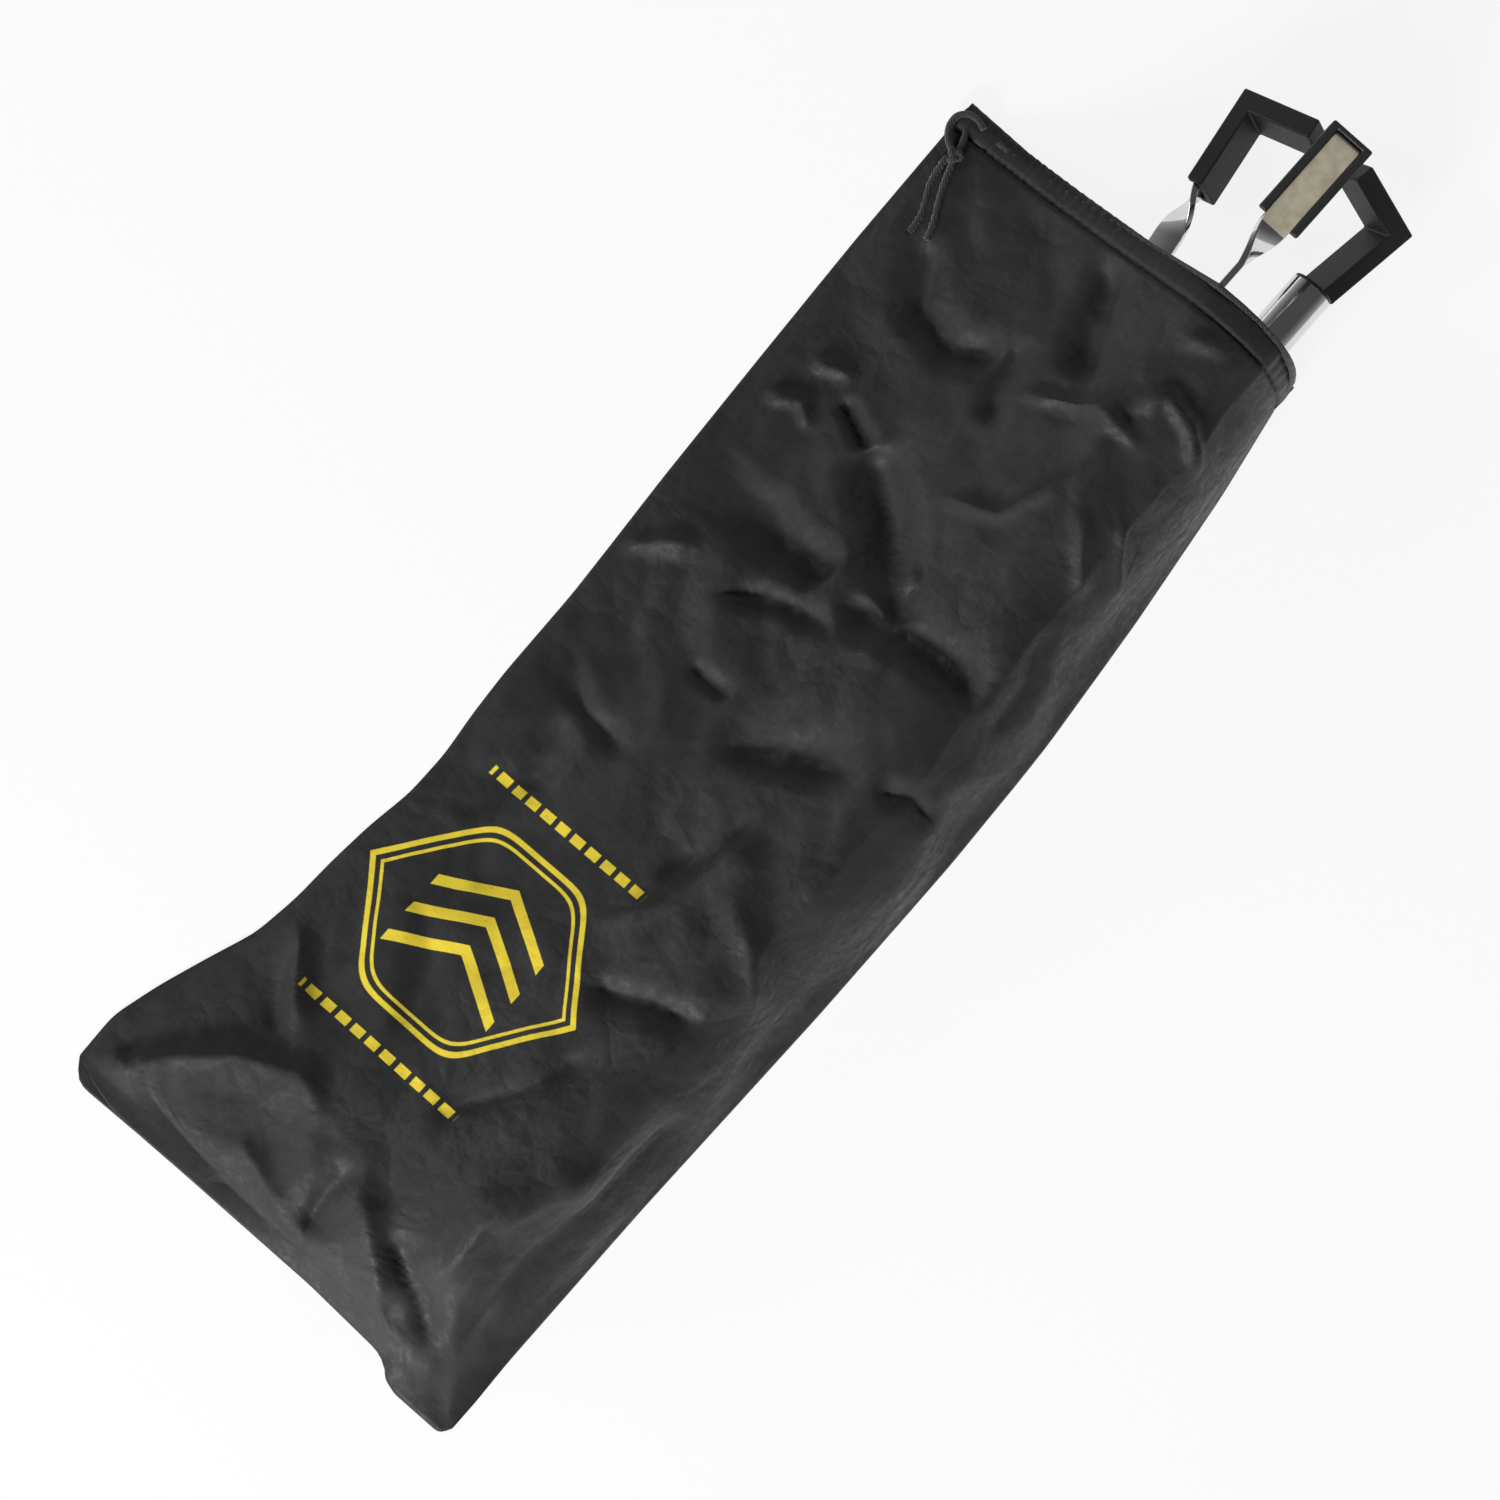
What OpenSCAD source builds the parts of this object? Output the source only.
// Drawstring bag of thin nylon, lying flat, with the two folded sections of a
// snare drum stand inside it: the basket section and the tripod base section.
// +Y runs towards the bag's mouth, +X across it, +Z up; the underside is z = 0.

/* [Bag] */
// Room between the stand's lowest end and the bag's closed bottom end
tail_room = 48; // [42:1:80]
// Distance of the mouth's edge above the origin
bag_mouth = 262; // [258:1:266]
// Width of the bag as it lies
bag_w = 188; // [184:1:210]
// Thickness of the cloth
cloth_t = 0.8; // [0.5:0.1:1]
// Depth of the hem that the drawcord runs in
hem_d = 12; // [10:1:16]
// Width of the sewn edge along the sides and the bottom
seam_w = 8; // [5:1:10]
// Clear height inside one layer of the hem
hem_gap = 3.4; // [3.2:0.1:4]
// Diameter of the drawcord
cord_d = 2.8; // [2:0.1:3]

/* [Basket section] */
// Sideways place of the basket's axis
basket_x = 28; // [24:1:30]
// Place along the bag of the arms' pivots
pivot_y = 147; // [140:1:150]
// Distance of the arms' pivots from the axis
pivot_r = 12.5; // [12.3:0.1:13]
// Length of an arm from its pivot to its bend
arm_l = 190; // [186:1:196]
// Lean of the folded arms from the axis
arm_lean = 9.6; // [9:0.1:10]
// Width of the arm's strip
strip_w = 12.7; // [11:0.1:13]
// Thickness of the arm's strip
strip_t = 3; // [2:0.1:3.2]
// Length of the quarter twist in the strip
twist_l = 26; // [22:1:30]
// Length of the rubber grip along the arm
grip_leg = 41; // [36:1:44]
// Reach of the grip's hook towards the axis
grip_hook = 37; // [30:1:38]
// Width of the rubber grip
grip_w = 20; // [17:1:22]
// Radius of the slotted hub
hub_r = 16; // [15:0.5:17]
// Height of the slotted hub
hub_h = 16; // [14:1:18]
// Radius of the arms' pins
pin_r = 2; // [1.5:0.1:2.4]
// Radius of the threaded stem
stem_r = 4; // [3:0.1:4.4]
// Radius of the basket's adjusting knob
knob_r = 14; // [12:0.5:14.5]
// Height of the basket's adjusting knob
knob_h = 20; // [16:1:22]
// Radius of the tilter's toothed discs
tilter_r = 11; // [9:0.5:12]
// Radius of the upper tube
upper_r = 7.94; // [7.2:0.01:8]
// Length of the upper tube
upper_l = 306; // [280:1:310]

/* [Base section] */
// Radius of the base tube
base_r = 9.5; // [9.3:0.05:9.7]
// Wall of both tubes
tube_wall = 1.2; // [1:0.1:1.25]
// Distance of the base tube's open end below the right grip
end_gap = 3; // [2.5:0.5:8]
// Length of the base tube
base_l = 441; // [420:1:460]
// Reach of the feet past the base tube's lower end
foot_reach = 74; // [60:1:80]
// Distance from a leg's pivot down to its brace's rivet
brace_drop = 84; // [70:1:100]
// Distance of the height screw below the tube's open end
boss_drop = 66; // [56:1:80]
// Width of a leg's channel
leg_w = 10; // [9:0.5:11]
// Depth of a leg's channel
leg_d = 4.8; // [4.4:0.1:5]
// Thickness of the leg's sheet metal
leg_t = 1.2; // [1:0.1:1.4]
// Length of a rubber foot
foot_l = 34; // [28:1:40]
// Reach of a wing screw's wings to each side
wing_reach = 10; // [8:0.5:10.5]
// Radius of the clamp screws
screw_r = 3; // [2.4:0.1:3.2]

/* [Clearances] */
// Gap between parts that lie on each other
rest_gap = 0.3; // [0.2:0.05:0.5]
// Radial clearance of pins, screws and sleeves
fit_gap = 0.06; // [0.03:0.01:0.09]
// Free height left between the contents and the cloth
cloth_room = 2; // [1.5:0.5:4]

/* [Hidden] */
$fn = 48;
hull_fn = 32;
e = 0.01;

// --- colours ---
nylon = [0.18, 0.18, 0.19];
chrome = [0.82, 0.83, 0.85];
black_rubber = [0.09, 0.09, 0.09];
black_plastic = [0.12, 0.12, 0.13];
cord_black = [0.07, 0.07, 0.07];

// --- where the sections lie ---
corner_r = pivot_r + arm_l * sin(arm_lean);
corner_y = pivot_y + arm_l * cos(arm_lean);
grip_floor = 3.5;
grip_lip = 1;
grip_out = strip_t / 2 + grip_lip;
grip_in = strip_t / 2 + grip_floor;
grip_end = 4;
// the two lower grips stand on the surface under the bag, the tube's end on the cloth
grip_low = (corner_r + grip_out + 1) * sin(30) + grip_w / 2 * cos(30) + rest_gap;
tube_low = cloth_t + rest_gap + upper_r;
stem_low = 52;
tube_top = 66;
plug_l = 3;
plug_in = 10;
tail_y = pivot_y - tube_top - upper_l - plug_l;
basket_tilt = atan((grip_low - tube_low) / (corner_y - tail_y));
function basket_z(y) = tube_low + (y - tail_y) * tan(basket_tilt);
// the base tube lies against the right arm's strip
base_x = basket_x + hub_r + base_r + 3.5;
arm_offset = base_r + strip_t / 2 + rest_gap + 0.4;
base_drop = (arm_offset - (base_x - basket_x) * sin(30)) / cos(30);
base_end = pivot_y + (arm_l - grip_leg) * cos(arm_lean) - end_gap;
tube_low_y = base_end - base_l;
base_end_z = basket_z(base_end) + base_drop;
leg_in = base_r + 0.7;
leg_out = leg_in + leg_d;
foot_out = leg_out + 1;
leg_top_y = 26;
foot_y = tube_low_y - foot_reach;
foot_z = cloth_t + rest_gap + foot_out;
base_tilt = atan((base_end_z - foot_z) / (base_end - foot_y));
function base_z(y) = foot_z + (y - foot_y) * tan(base_tilt);

// --- the bag's shape ---
bag_tail = tail_room - min(tail_y, foot_y);
screw_top = 25;
mouth_room = 3.8;
mouth_crest = basket_z(bag_mouth) + pivot_r + (bag_mouth - pivot_y) * tan(arm_lean)
              + strip_w / 2 + cloth_room + mouth_room + hem_gap + 2 * cloth_t;
mid_room = 4.6;
mid_crest = base_z(leg_top_y + 14) + screw_top + cloth_room + mid_room;
mouth_right = base_x + leg_out + cloth_room + 2 * cloth_t + 1.2;
bag_mid = 7;
half_w = bag_w / 2;
// edges of the lying bag: place along it, then how far the left and the right edge
// stand out past half the width
left_wave = [[0, 20], [0.03, 26], [0.07, 22], [0.12, 13], [0.18, 1], [0.27, -1], [0.34, -7],
             [0.42, -2], [0.52, -1], [0.63, 3], [0.74, 6], [0.86, 9], [1, 11]];
right_wave = [[0, 0], [0.05, -1], [0.2, -1], [0.4, 1], [0.55, 1], [0.66, -1], [0.78, -7],
              [0.9, -15], [1, -21]];
// ridge of the tent: place along the bag, sideways place, share of the middle height
ridge = [[0, 34, 0.032], [0.015, 34, 0.032], [0.035, 46, 0.5], [0.06, 52, 0.78],
         [0.1, 54, 0.85], [0.2, 55, 0.88],
         [0.35, 56, 0.92], [0.5, 57, 0.96], [0.58, 57, 1], [0.68, 52, 1.02], [0.8, 40, 1.02],
         [0.92, 30, 1], [1, 28, 1]];

function across(k) = bag_mid + k * half_w;
function along(y) = (y + bag_tail) / (bag_mouth + bag_tail);
function left_x(y) = bag_mid - half_w - lookup(along(y), left_wave);
function right_x(y) = along(y) > 0.9
    ? let (k = (along(y) - 0.9) / 0.1)
      (1 - k) * (bag_mid + half_w + lookup(0.9, right_wave)) + k * mouth_right
    : bag_mid + half_w + lookup(along(y), right_wave);
function ridge_x(y) = lookup(along(y), [for (r = ridge) [r[0], r[1]]]);
function ridge_z(y) = let (a = along(y), k = max(0, (a - 0.68) / 0.32))
    (1 - k) * mid_crest * lookup(min(a, 0.68), [for (r = ridge) [r[0], r[2]]])
    + k * mouth_crest;
function side_seam(y) = seam_w - (seam_w - 1.2) * min(1, max(0, (along(y) - 0.7) / 0.25));
// squareness of the right-hand side of the tent
function square(y) = 0.9 - 0.26 * min(1, max(0, (along(y) - 0.55) / 0.35));
// section of the tent at y, from the left edge (t = 0) over the ridge to the right edge
sag = 1.4;
ridge_t = 0.6;
flat = 0.02;
function tent(y, t, inset) =
    let (l = left_x(y) + seam_w, r = right_x(y) - side_seam(y) - inset,
         c = ridge_x(y), base = 2 * cloth_t - inset, h = ridge_z(y) - 2 * cloth_t)
    t < ridge_t
    ? let (u = t / ridge_t) [l + (c - l) * u, y, base + h * pow(u, sag)
        - h * flat * pow(u, 12)]
    : let (a = 90 * (t - ridge_t) / (1 - ridge_t))
      [c + (r - c) * pow(sin(a), square(y)), y,
       base + h * (1 - flat) * pow(cos(a), square(y))];

module ring_tube(path, r, sides = 8) {
    last = len(path) - 1;
    function dir(i) = let (v = path[min(last, i + 1)] - path[max(0, i - 1)]) v / norm(v);
    function side(i) = let (d = dir(i), s = cross(d, [0.11, 0.07, 1])) s / norm(s);
    pts = [for (i = [0 : last]) let (s = side(i), u = cross(s, dir(i)))
           for (k = [0 : sides - 1])
               path[i] + r * (cos(360 * k / sides) * s + sin(360 * k / sides) * u)];
    walls = [for (i = [0 : last - 1]) for (k = [0 : sides - 1])
             let (a = i * sides + k, b = i * sides + (k + 1) % sides)
             [a, b, b + sides, a + sides]];
    caps = [[for (k = [sides - 1 : -1 : 0]) k], [for (k = [0 : sides - 1]) last * sides + k]];
    polyhedron(pts, concat(walls, caps));
}

// closed sheet between two grids of points; grid[i][j]
module sheet_solid(top, bottom) {
    n = len(top);
    m = len(top[0]);
    pts = concat([for (row = top) for (p = row) p], [for (row = bottom) for (p = row) p]);
    nb = n * m;
    function id(i, j) = i * m + j;
    upper = [for (i = [0 : n - 2]) for (j = [0 : m - 2]) for (q = [0, 1])
             q == 0 ? [id(i, j), id(i + 1, j), id(i, j + 1)]
                    : [id(i, j + 1), id(i + 1, j), id(i + 1, j + 1)]];
    lower = [for (f = upper) [f[2] + nb, f[1] + nb, f[0] + nb]];
    rim = concat([for (j = [0 : m - 2]) [id(0, j), id(0, j + 1)]],
                 [for (i = [0 : n - 2]) [id(i, m - 1), id(i + 1, m - 1)]],
                 [for (j = [m - 1 : -1 : 1]) [id(n - 1, j), id(n - 1, j - 1)]],
                 [for (i = [n - 1 : -1 : 1]) [id(i, 0), id(i - 1, 0)]]);
    side = [for (s = rim) for (q = [0, 1]) q == 0 ? [s[0], s[1], s[1] + nb]
                                                   : [s[0], s[1] + nb, s[0] + nb]];
    polyhedron(pts, concat(upper, lower, side));
}

// --- bag ---
panel_end = bag_mouth - hem_d;
tail_end = -bag_tail + seam_w;
sections = 25;
steps = 26;
module front_panel() {
    ys = [for (i = [0 : sections]) tail_end + (panel_end - tail_end) * i / sections];
    color(nylon) sheet_solid([for (y = ys) [for (j = [0 : steps]) tent(y, j / steps, 0)]],
                             [for (y = ys) [for (j = [0 : steps]) tent(y, j / steps, cloth_t)]]);
}

module back_panel() {
    ys = [for (i = [0 : sections]) tail_end + (panel_end - tail_end) * i / sections];
    outline = concat([for (y = ys) [left_x(y) + seam_w, y]],
                     [for (i = [sections : -1 : 0]) [right_x(ys[i]) - side_seam(ys[i]), ys[i]]]);
    color(nylon) linear_extrude(cloth_t) polygon(outline);
}

module side_band(edge, inner) {
    ys = [for (i = [0 : sections]) tail_end + (panel_end - tail_end) * i / sections];
    outline = concat([for (y = ys) [edge(y), y]],
                     [for (i = [sections : -1 : 0]) [inner(ys[i]), ys[i]]]);
    color(nylon) linear_extrude(2 * cloth_t) polygon(outline);
}

module left_seam() {
    side_band(function (y) left_x(y), function (y) left_x(y) + seam_w);
}

module right_seam() {
    side_band(function (y) right_x(y), function (y) right_x(y) - side_seam(y));
}

// flared left corner and small notch near the right corner of the sewn bottom edge
module bottom_seam() {
    l = left_x(tail_end);
    r = right_x(tail_end);
    low = -bag_tail;
    color(nylon) linear_extrude(2 * cloth_t)
        polygon([[l, tail_end], [l + 4, low - 1], [across(-0.7), low], [across(0.14), low],
                 [across(0.58), low - 2], [across(0.64), low - 8], [across(0.71), low - 10],
                 [r - 3, low - 10], [r, low - 5], [r, tail_end]]);
}

// one layer of the hem: a flat sleeve swept along a row of points
module hem_sleeve(row, up) {
    wall = 0.4;
    d = hem_d;
    n = len(row);
    function box(p, k, a, b, lo, hi) = [p + [0, a, 0] + lo * k, p + [0, b, 0] + lo * k,
                                        p + [0, b, 0] + hi * k, p + [0, a, 0] + hi * k];
    pts = [for (i = [0 : n - 1])
           for (q = concat(box(row[i], up[i], 0, d, 0, hem_gap + 2 * wall),
                           box(row[i], up[i], wall, d - wall, wall, hem_gap + wall))) q];
    skin = [for (i = [0 : n - 2]) for (k = [0 : 3]) for (q = [0, 1])
            let (a = 8 * i + k, b = 8 * i + (k + 1) % 4)
            q == 0 ? [a, b, b + 8] : [a, b + 8, a + 8]];
    bore = [for (i = [0 : n - 2]) for (k = [0 : 3]) for (q = [0, 1])
            let (a = 8 * i + 4 + k, b = 8 * i + 4 + (k + 1) % 4)
            q == 0 ? [b, a, b + 8] : [b + 8, a, a + 8]];
    first = [for (k = [0 : 3]) let (b = (k + 1) % 4) [b, k, k + 4, b + 4]];
    last = [for (k = [0 : 3]) let (b = (k + 1) % 4, z = 8 * (n - 1))
            [z + k, z + b, z + b + 4, z + k + 4]];
    polyhedron(pts, concat(skin, bore, first, last));
}

hem_t = hem_gap + 0.8;
hem_steps = 28;
hem_lo = 0.02;
hem_hi = 0.96;
function hem_normal(t) = let (a = tent(panel_end, t - 0.01, 0), b = tent(panel_end, t + 0.01, 0),
                              v = b - a, w = [-v[2], 0, v[0]]) w / norm(w);
function hem_point(t) = let (p = tent(panel_end, t, 0) - 0.8 * hem_t * hem_normal(t))
    [p[0], p[1], max(p[2], hem_t + 0.05)];
hem_ts = [for (i = [0 : hem_steps]) hem_lo + (hem_hi - hem_lo) * i / hem_steps];
module front_hem() {
    color(nylon) hem_sleeve([for (t = hem_ts) hem_point(t)], [for (t = hem_ts) hem_normal(t)]);
}

back_hem_l = left_x(panel_end) + seam_w + 1;
back_hem_r = mouth_right - 4;
module back_hem() {
    row = [for (i = [0 : 8]) [back_hem_l + (back_hem_r - back_hem_l) * i / 8, panel_end, 0]];
    color(nylon) hem_sleeve(row, [for (i = [0 : 8]) [0, 0, 1]]);
}

// --- drawcord: inside the hem all round, then out of its left end ---
cord_y = panel_end + hem_d / 2;
cord_r = cord_d / 2;
hem_mid = hem_t / 2;
cord_front = [for (i = [1 : hem_steps - 1])
              let (t = hem_ts[i]) hem_point(t) + hem_mid * hem_normal(t) + [0, hem_d / 2, 0]];
cord_back = [for (i = [0 : 10])
             [back_hem_r - 1 + (back_hem_l + 3 - back_hem_r + 1) * i / 10, cord_y, hem_mid]];
cord_turn = [[back_hem_r + 3.7, cord_y, 15], [back_hem_r + 3.5, cord_y, 7.5],
             [back_hem_r + 2.8, cord_y, 4.2], [back_hem_r + 1.4, cord_y, 2.5]];
module drawcord() {
    color(cord_black) ring_tube(concat(cord_front, cord_turn, cord_back), cord_r);
}

// route points of the two strands that leave the hem and of their tails past the knot
loop_route = [[-86.5, 256, 6.4], [-91, 257.5, 6.2], [-95.5, 256.8, 5.2], [-98.5, 253.5, 4.4],
              [-98.5, 249, 4], [-96.5, 245.2, 4.2], [-93.9, 242.8, 4.8], [-91.8, 241.5, 5.3]];
strand_route = [[-89.2, 255.6, 2.2], [-91, 254, 2.6], [-91.4, 251.4, 3.2], [-90.4, 248.6, 4],
                [-89.4, 246, 4.7], [-88.8, 243.5, 5.1]];
knot_at = [-88.5, 240, 5.6];
knot_r = 3.4;
tail_a_route = [[-87, 236.8, 5.2], [-85, 231, 5], [-82.5, 225, 5.2], [-79.5, 219, 5.8],
                [-76.5, 213, 6.4], [-74, 206, 6.8]];
tail_b_route = [[-90.4, 236.3, 4.6], [-89.5, 230, 4.2], [-88, 224, 4.2], [-85, 218, 4.6],
                [-82.5, 212, 5.2], [-81.5, 204, 5.6]];
module cord_loop() {
    color(cord_black) ring_tube(loop_route, cord_r);
}

module cord_strand() {
    color(cord_black) ring_tube(strand_route, cord_r);
}

module cord_knot() {
    color(cord_black) translate(knot_at) sphere(r = knot_r, $fn = 24);
}

module cord_tail_a() {
    color(cord_black) ring_tube(tail_a_route, cord_r);
}

module cord_tail_b() {
    color(cord_black) ring_tube(tail_b_route, cord_r);
}

// --- basket section, drawn about its own axis: y = 0 at the arms' pivots ---
module on_basket() {
    translate([basket_x, pivot_y, basket_z(pivot_y)]) rotate([basket_tilt, 0, 0]) children();
}

// cylinder along +Y from y = a to y = b
module rod(a, b, r, sides = 48) {
    translate([0, b, 0]) rotate([90, 0, 0]) cylinder(h = b - a, r = r, $fn = sides);
}

// ring along +Y with a bore
module sleeve(a, b, outer, inner) {
    difference() {
        rod(a, b, outer);
        rod(a - 1, b + 1, inner);
    }
}

module turned(angle) {
    rotate([0, angle, 0]) children();
}

module on_arm() {
    translate([0, 0, pivot_r]) rotate([arm_lean, 0, 0]) children();
}

arm_turns = [0, 240, 120];
heel = strip_w / 2;
twist_end = arm_l - grip_leg + 4;
twist_start = twist_end - twist_l;
hook_in = grip_hook - grip_end;
module strip_arm() {
    color(chrome) on_arm() {
        difference() {
            union() {
                translate([-strip_t / 2, 0, -heel]) cube([strip_t, twist_start, strip_w]);
                rotate([0, 90, 0]) cylinder(h = strip_t, r = heel, center = true);
            }
            rotate([0, 90, 0]) cylinder(h = 3 * strip_t, r = pin_r + fit_gap, center = true);
        }
        translate([0, twist_start, 0]) rotate([-90, 0, 0])
            linear_extrude(twist_l, twist = 90, slices = 18) square([strip_t, strip_w], center = true);
        translate([-heel, twist_end, -strip_t / 2])
            cube([strip_w, arm_l + strip_t / 2 - twist_end, strip_t]);
        translate([-heel, arm_l - strip_t / 2, -hook_in])
            cube([strip_w, strip_t, hook_in]);
    }
}

// rubber grip: an L that cups the end of the strip and leaves its outer face bare
module rubber_grip() {
    slot_w = strip_w + 2 * fit_gap;
    inner = strip_t / 2 + fit_gap;
    color(black_rubber) on_arm() difference() {
        union() {
            translate([-grip_w / 2, arm_l - grip_leg, -grip_in])
                cube([grip_w, grip_leg + grip_end, grip_in + grip_out]);
            translate([-grip_w / 2, arm_l - grip_in, -grip_hook + grip_out])
                cube([grip_w, grip_in + grip_end, grip_hook]);
        }
        translate([-slot_w / 2, arm_l - grip_leg - 1, -inner])
            cube([slot_w, grip_leg + 1 + inner, inner + grip_out + 1]);
        translate([-slot_w / 2, arm_l - inner, -hook_in - fit_gap])
            cube([slot_w, 2 * inner, hook_in + fit_gap + e]);
    }
}

module front_arm() {
    on_basket() turned(arm_turns[0]) strip_arm();
}

module left_arm() {
    on_basket() turned(arm_turns[1]) strip_arm();
}

module right_arm() {
    on_basket() turned(arm_turns[2]) strip_arm();
}

module front_grip() {
    on_basket() turned(arm_turns[0]) rubber_grip();
}

module left_grip() {
    on_basket() turned(arm_turns[1]) rubber_grip();
}

module right_grip() {
    on_basket() turned(arm_turns[2]) rubber_grip();
}

hub_low = -4;
hub_top = hub_low + hub_h;
slot_floor = pivot_r - heel - 0.6;
slot_w = strip_t + 0.6;
module basket_hub() {
    color(chrome) on_basket() difference() {
        rod(hub_low, hub_top, hub_r);
        rod(hub_low - 1, hub_top + 1, stem_r + fit_gap);
        for (a = arm_turns) turned(a) {
            translate([-slot_w / 2, hub_low - 1, slot_floor])
                cube([slot_w, hub_h + 2, hub_r]);
            translate([0, 0, pivot_r]) rotate([0, 90, 0])
                cylinder(h = 3 * hub_r, r = pin_r + fit_gap / 2, center = true);
        }
    }
}

pin_l = 2 * sqrt(hub_r * hub_r - pivot_r * pivot_r) - 0.6;
module arm_pins() {
    color(chrome) on_basket() for (a = arm_turns) turned(a)
        translate([0, 0, pivot_r]) rotate([0, 90, 0]) cylinder(h = pin_l, r = pin_r, center = true);
}

nut_h = 6;
module hub_nut() {
    color(chrome) on_basket() difference() {
        rod(hub_top, hub_top + nut_h, 6, 6);
        rod(hub_top - 1, hub_top + nut_h - 1.5, stem_r + fit_gap);
    }
}

collar_top = -heel - 1;
collar_h = 4;
knob_top = collar_top - collar_h - rest_gap;
tilter_neck = -stem_low + tilter_r - 3;
module basket_stem() {
    color(chrome) on_basket() rod(tilter_neck + 7.6, hub_top + nut_h - 2, stem_r);
}

module thrust_collar() {
    color(chrome) on_basket() sleeve(collar_top - collar_h, collar_top, hub_r - 2, stem_r + fit_gap);
}

knob_lobes = 6;
module basket_knob() {
    color(black_plastic) on_basket() difference() {
        union() {
            rod(knob_top - knob_h, knob_top, knob_r - 2.5);
            for (i = [0 : knob_lobes - 1]) turned(360 * i / knob_lobes)
                translate([0, 0, knob_r - 3.5]) rod(knob_top - knob_h + 3, knob_top - 1, 3.5);
        }
        rod(knob_top - knob_h - 1, knob_top + 1, stem_r + fit_gap);
    }
}

disc_t = 6;
disc_gap = 0.15;
module tilter_disc(x0) {
    difference() {
        translate([x0, -stem_low, 0]) rotate([0, 90, 0]) cylinder(h = disc_t, r = tilter_r);
        translate([x0 - 1, -stem_low, 0]) rotate([0, 90, 0])
            cylinder(h = disc_t + 2, r = screw_r + fit_gap);
    }
}

module tilter_upper() {
    color(black_plastic) on_basket() {
        difference() {
            union() {
                tilter_disc(disc_gap);
                intersection() {
                    rod(tilter_neck, tilter_neck + 7, 7);
                    translate([disc_gap, tilter_neck, -8]) cube([16, 8, 16]);
                }
            }
            translate([-8, -stem_low, 0]) rotate([0, 90, 0]) cylinder(h = 40, r = screw_r + fit_gap);
        }
        difference() {
            rod(tilter_neck + 7, tilter_neck + 12, 8);
            rod(tilter_neck + 7.5, tilter_neck + 13, stem_r + fit_gap);
        }
    }
}

module tilter_lower() {
    color(black_plastic) on_basket() {
        tilter_disc(-disc_gap - disc_t);
        difference() {
            rod(-tube_top, -stem_low - tilter_r + 4, 7.9);
            translate([-disc_gap, -stem_low, 0]) rotate([0, 90, 0])
                cylinder(h = 20, r = tilter_r + 0.6);
        }
        rod(-tube_top - 16, -tube_top, upper_r - tube_wall - fit_gap);
    }
}

bolt_end = 14;
module tilter_bolt() {
    color(chrome) on_basket() translate([0, -stem_low, 0]) {
        translate([-bolt_end, 0, 0]) rotate([0, 90, 0])
            cylinder(h = bolt_end + disc_t + disc_gap + 0.1, r = screw_r);
        translate([disc_t + disc_gap + 0.1, 0, 0]) rotate([0, 90, 0]) cylinder(h = 4, r = 5, $fn = 6);
    }
}

// wings of a clamp screw or nut along +Z, from z = a to z = b
module wings(a, b) {
    for (s = [-1, 1]) hull() {
        translate([s * 3, 0, a + 2]) rotate([90, 0, 0])
            cylinder(h = 3, r = 2, center = true, $fn = hull_fn);
        translate([s * (wing_reach - 3), 0, b - 3]) rotate([90, 0, 0])
            cylinder(h = 3, r = 3, center = true, $fn = hull_fn);
    }
}

module tilter_wing_nut() {
    color(chrome) on_basket() translate([-disc_gap - disc_t - 0.1, -stem_low, 0])
        rotate([0, -90, 0]) difference() {
            union() {
                cylinder(h = 6, r = 5.5);
                wings(1, 9.5);
            }
            translate([0, 0, -1]) cylinder(h = 14, r = screw_r + fit_gap);
        }
}

module upper_tube() {
    color(chrome) on_basket() sleeve(-tube_top - upper_l, -tube_top, upper_r, upper_r - tube_wall);
}

module upper_tube_plug() {
    low = -tube_top - upper_l;
    color(black_rubber) on_basket() {
        rod(low - plug_l, low, upper_r);
        rod(low, low + plug_in, upper_r - tube_wall - fit_gap);
    }
}

// --- base section, drawn about its own axis with the same y as the bag ---
module on_base() {
    translate([base_x, 0, base_z(0)]) rotate([base_tilt, 0, 0]) children();
}

leg_turns = [60, 180, 300];
boss_y = base_end - boss_drop;
screw_in = base_r - 0.6;
boss_out = base_r + 5.5;
module base_tube() {
    color(chrome) on_base() difference() {
        rod(tube_low_y, base_end, base_r);
        rod(tube_low_y - 1, base_end + 1, base_r - tube_wall);
        translate([0, boss_y, 0]) cylinder(h = 2 * base_r, r = screw_r + 0.2);
        translate([0, collar_mid, 0]) cylinder(h = 2 * base_r, r = screw_r + 0.2);
    }
}

bush_l = 40;
module tube_bushing() {
    bush_out = base_r - tube_wall - fit_gap;
    color(black_plastic) on_base() difference() {
        union() {
            rod(base_end - bush_l, base_end, bush_out);
            rod(base_end + fit_gap, base_end + 1.5, base_r - 0.4);
            rod(base_end - 1, base_end + 1, bush_out);
        }
        rod(base_end - bush_l - 1, base_end + 2, min(upper_r + fit_gap, bush_out - 0.2));
    }
}

module screw_boss(y, from) {
    difference() {
        translate([0, y, 0]) cylinder(h = boss_out, r = screw_r + 2.4);
        rod(y - 12, y + 12, from);
        translate([0, y, 0]) cylinder(h = 2 * boss_out, r = screw_r + fit_gap);
    }
}

module height_boss() {
    color(chrome) on_base() screw_boss(boss_y, base_r + 0.05);
}

module wing_screw(y) {
    translate([0, y, 0]) {
        translate([0, 0, screw_in]) cylinder(h = boss_out + 3 - screw_in, r = screw_r);
        translate([0, 0, boss_out + rest_gap]) cylinder(h = 3.5, r = screw_r + 1.8);
        difference() {
            wings(boss_out + rest_gap + 1, screw_top);
            cylinder(h = boss_out + rest_gap + e, r = 3 * screw_r);
        }
    }
}

module height_wing_screw() {
    color(chrome) on_base() wing_screw(boss_y);
}

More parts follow.
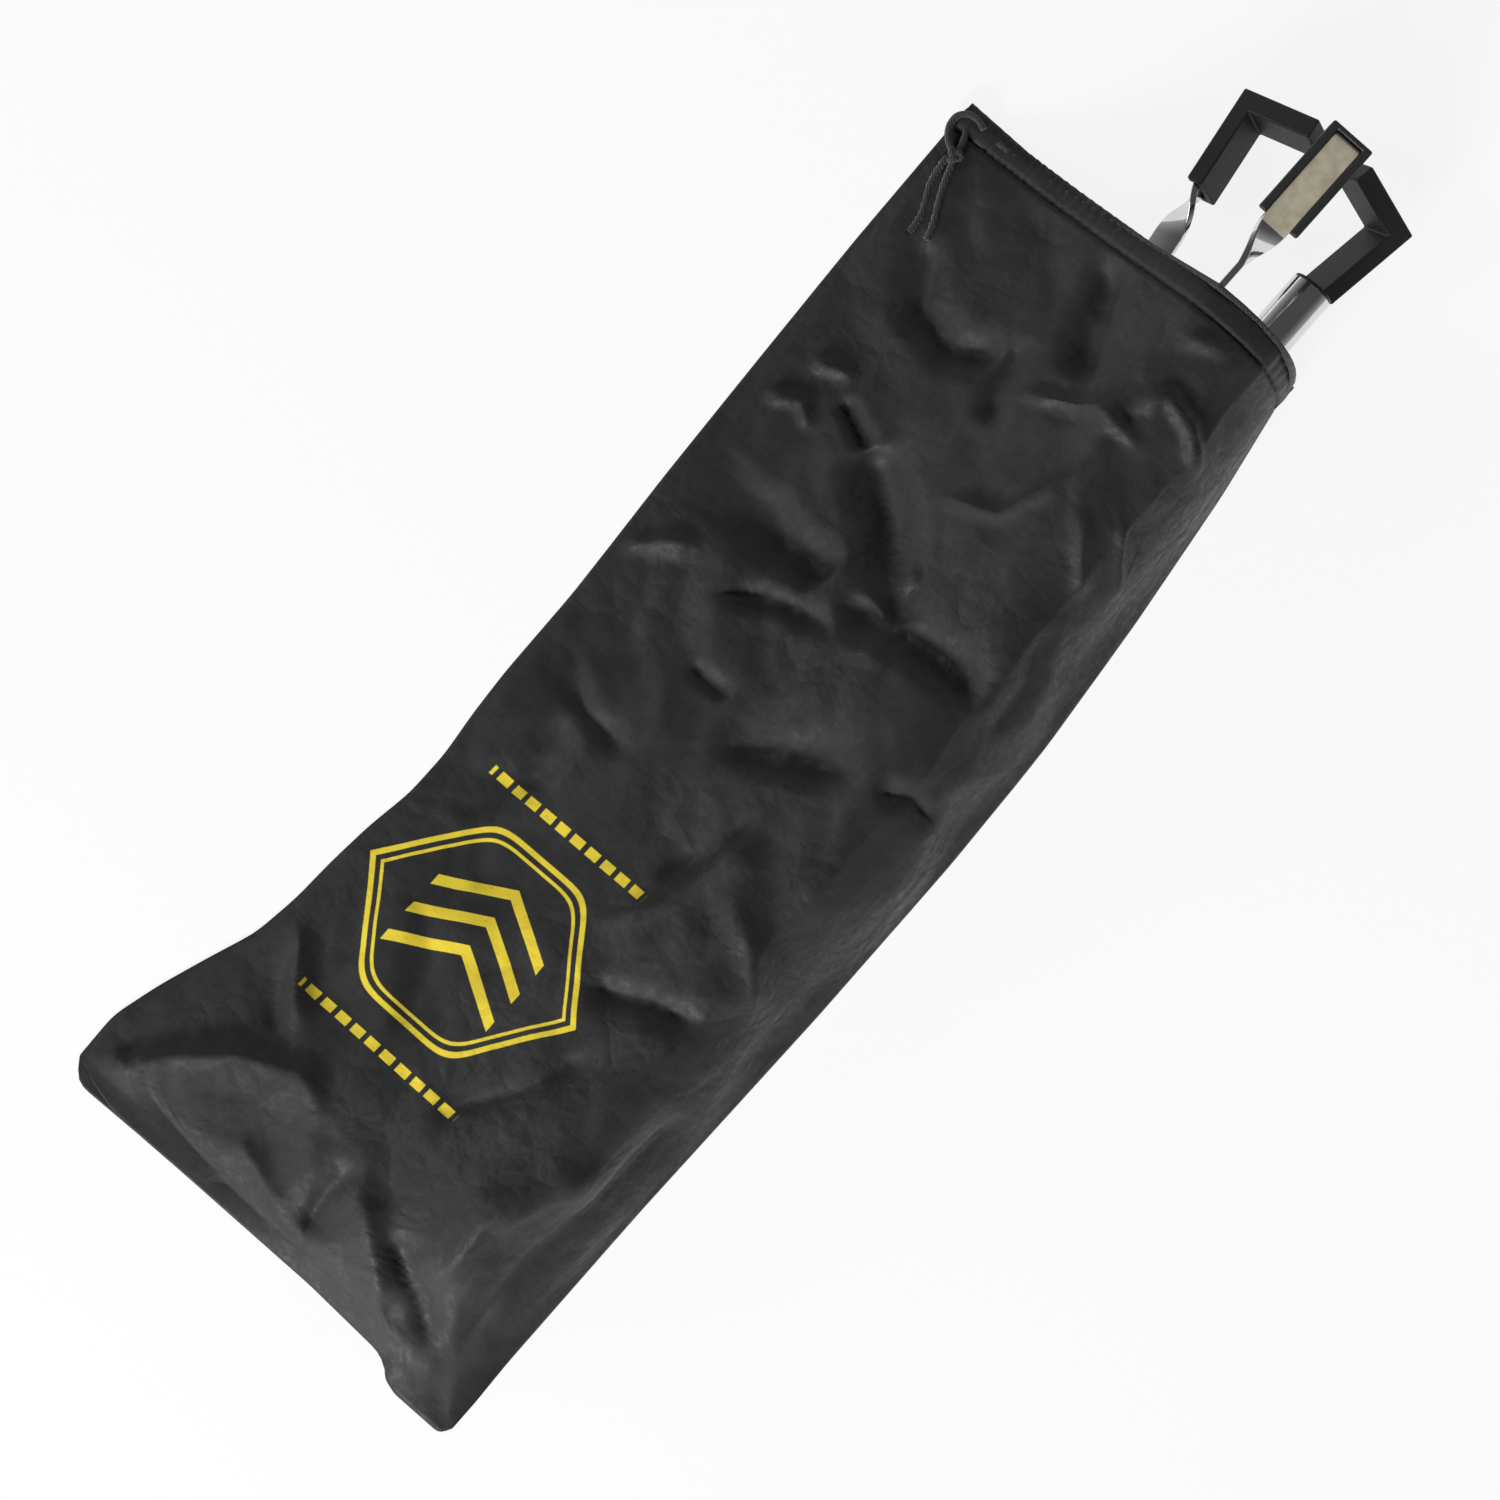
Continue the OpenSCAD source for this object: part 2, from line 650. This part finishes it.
collar_low = leg_top_y + 5;
collar_len = 22;
collar_mid = collar_low + collar_len / 2;
rivet_r = 1.2;
channel_d = leg_d - leg_t;
channel_w = leg_w - 2 * leg_t;
pin_z = leg_in + channel_d / 2;
ear_d = channel_d - 0.4;
ear_w = channel_w - 3;

// flat ear from a collar's face to a pin at place y
module ear(y, face, w) {
    translate([0, 0, pin_z]) difference() {
        union() {
            translate([-w / 2, min(y, face - 1), -ear_d / 2]) cube([w, abs(face - y) + 1, ear_d]);
            translate([0, y, 0]) rotate([0, 90, 0]) cylinder(h = w, r = ear_d / 2, center = true);
        }
        translate([0, y, 0]) rotate([0, 90, 0])
            cylinder(h = w + 2, r = rivet_r + fit_gap, center = true);
    }
}

module leg_collar() {
    color(black_plastic) on_base() {
        difference() {
            rod(collar_low, collar_low + collar_len, leg_out - 1);
            rod(collar_low - 1, collar_low + collar_len + 1, base_r + fit_gap);
            translate([0, collar_mid, 0]) cylinder(h = 3 * base_r, r = screw_r + fit_gap);
        }
        for (a = leg_turns) turned(a) ear(leg_top_y, collar_low, ear_w);
    }
}

module collar_wing_screw() {
    color(chrome) on_base() wing_screw(collar_mid);
}

brace_y = leg_top_y - brace_drop;
low_collar_h = 14;
low_collar_y = tube_low_y + low_collar_h + 6;
foot_top = foot_y + foot_l;
foot_wall = 1;
foot_sole = 6;
module leg() {
    top = leg_top_y + 4;
    difference() {
        translate([-leg_w / 2, foot_y + foot_sole, leg_in])
            cube([leg_w, top - foot_y - foot_sole, leg_d]);
        translate([-channel_w / 2, foot_y, leg_in - 1])
            cube([channel_w, top + 2 - foot_y, channel_d + 1]);
        for (y = [leg_top_y, brace_y]) translate([0, y, pin_z]) rotate([0, 90, 0])
            cylinder(h = 2 * leg_w, r = rivet_r + fit_gap, center = true);
    }
}

module foot() {
    difference() {
        hull() {
            translate([-leg_w / 2 - foot_wall, foot_y + 3, leg_in - foot_wall])
                cube([leg_w + 2 * foot_wall, foot_l - 3, leg_d + 2 * foot_wall]);
            translate([-leg_w / 2 + 1, foot_y, leg_in])
                cube([leg_w - 2, foot_l, leg_d]);
        }
        translate([-leg_w / 2 - fit_gap, foot_y + foot_sole - fit_gap, leg_in - fit_gap])
            cube([leg_w + 2 * fit_gap, foot_l, leg_d + 2 * fit_gap]);
    }
}

brace_t = 1.8;
module brace() {
    len = brace_y - low_collar_y;
    translate([0, 0, pin_z]) difference() {
        union() {
            translate([-brace_t / 2, low_collar_y, -ear_d / 2]) cube([brace_t, len, ear_d]);
            for (y = [low_collar_y, brace_y]) translate([0, y, 0]) rotate([0, 90, 0])
                cylinder(h = brace_t, r = ear_d / 2, center = true);
        }
        for (y = [low_collar_y, brace_y]) translate([0, y, 0]) rotate([0, 90, 0])
            cylinder(h = 10, r = rivet_r + fit_gap, center = true);
    }
}

module on_leg(i) {
    on_base() turned(leg_turns[i]) children();
}

module leg_1() {
    color(chrome) on_leg(0) leg();
}

module leg_2() {
    color(chrome) on_leg(1) leg();
}

module leg_3() {
    color(chrome) on_leg(2) leg();
}

module foot_1() {
    color(black_rubber) on_leg(0) foot();
}

module foot_2() {
    color(black_rubber) on_leg(1) foot();
}

module foot_3() {
    color(black_rubber) on_leg(2) foot();
}

module brace_1() {
    color(chrome) on_leg(0) brace();
}

module brace_2() {
    color(chrome) on_leg(1) brace();
}

module brace_3() {
    color(chrome) on_leg(2) brace();
}

// fixed collar at the tube's lower end, with a pair of cheeks for each brace
cheek_t = 1.2;
cheek_gap = 0.2;
module brace_collar() {
    face = low_collar_y - 4;
    color(black_plastic) on_base() {
        difference() {
            rod(face - low_collar_h, face, leg_in - 0.2);
            rod(face - low_collar_h - 1, face + 1, base_r + 0.05);
        }
        for (a = leg_turns) turned(a) for (s = [-1, 1])
            translate([s * (brace_t / 2 + cheek_gap + cheek_t / 2), 0, 0]) {
                ear(low_collar_y, face, cheek_t);
                translate([-cheek_t / 2, face - low_collar_h, leg_in - 0.5])
                    cube([cheek_t, low_collar_h + e, ear_d]);
            }
    }
}

module leg_rivets() {
    color(chrome) on_base() for (a = leg_turns) turned(a) for (y = [leg_top_y, brace_y])
        translate([0, y, pin_z]) rotate([0, 90, 0])
            cylinder(h = leg_w, r = rivet_r, center = true);
}

module brace_rivets() {
    l = brace_t + 2 * (cheek_gap + cheek_t) + 0.6;
    color(chrome) on_base() for (a = leg_turns) turned(a) translate([0, low_collar_y, pin_z])
        rotate([0, 90, 0]) cylinder(h = l, r = rivet_r, center = true);
}

module base_tube_plug() {
    color(black_rubber) on_base() {
        rod(tube_low_y - plug_l, tube_low_y, base_r);
        rod(tube_low_y, tube_low_y + plug_in, base_r - tube_wall - fit_gap);
    }
}

front_panel();
back_panel();
front_hem();
back_hem();
left_seam();
right_seam();
bottom_seam();
drawcord();
cord_loop();
cord_strand();
cord_knot();
cord_tail_a();
cord_tail_b();
upper_tube();
upper_tube_plug();
tilter_lower();
tilter_upper();
tilter_bolt();
tilter_wing_nut();
basket_stem();
basket_knob();
thrust_collar();
basket_hub();
hub_nut();
arm_pins();
front_arm();
left_arm();
right_arm();
front_grip();
left_grip();
right_grip();
base_tube();
tube_bushing();
height_boss();
height_wing_screw();
leg_collar();
collar_wing_screw();
leg_1();
leg_2();
leg_3();
foot_1();
foot_2();
foot_3();
brace_1();
brace_2();
brace_3();
brace_collar();
leg_rivets();
brace_rivets();
base_tube_plug();
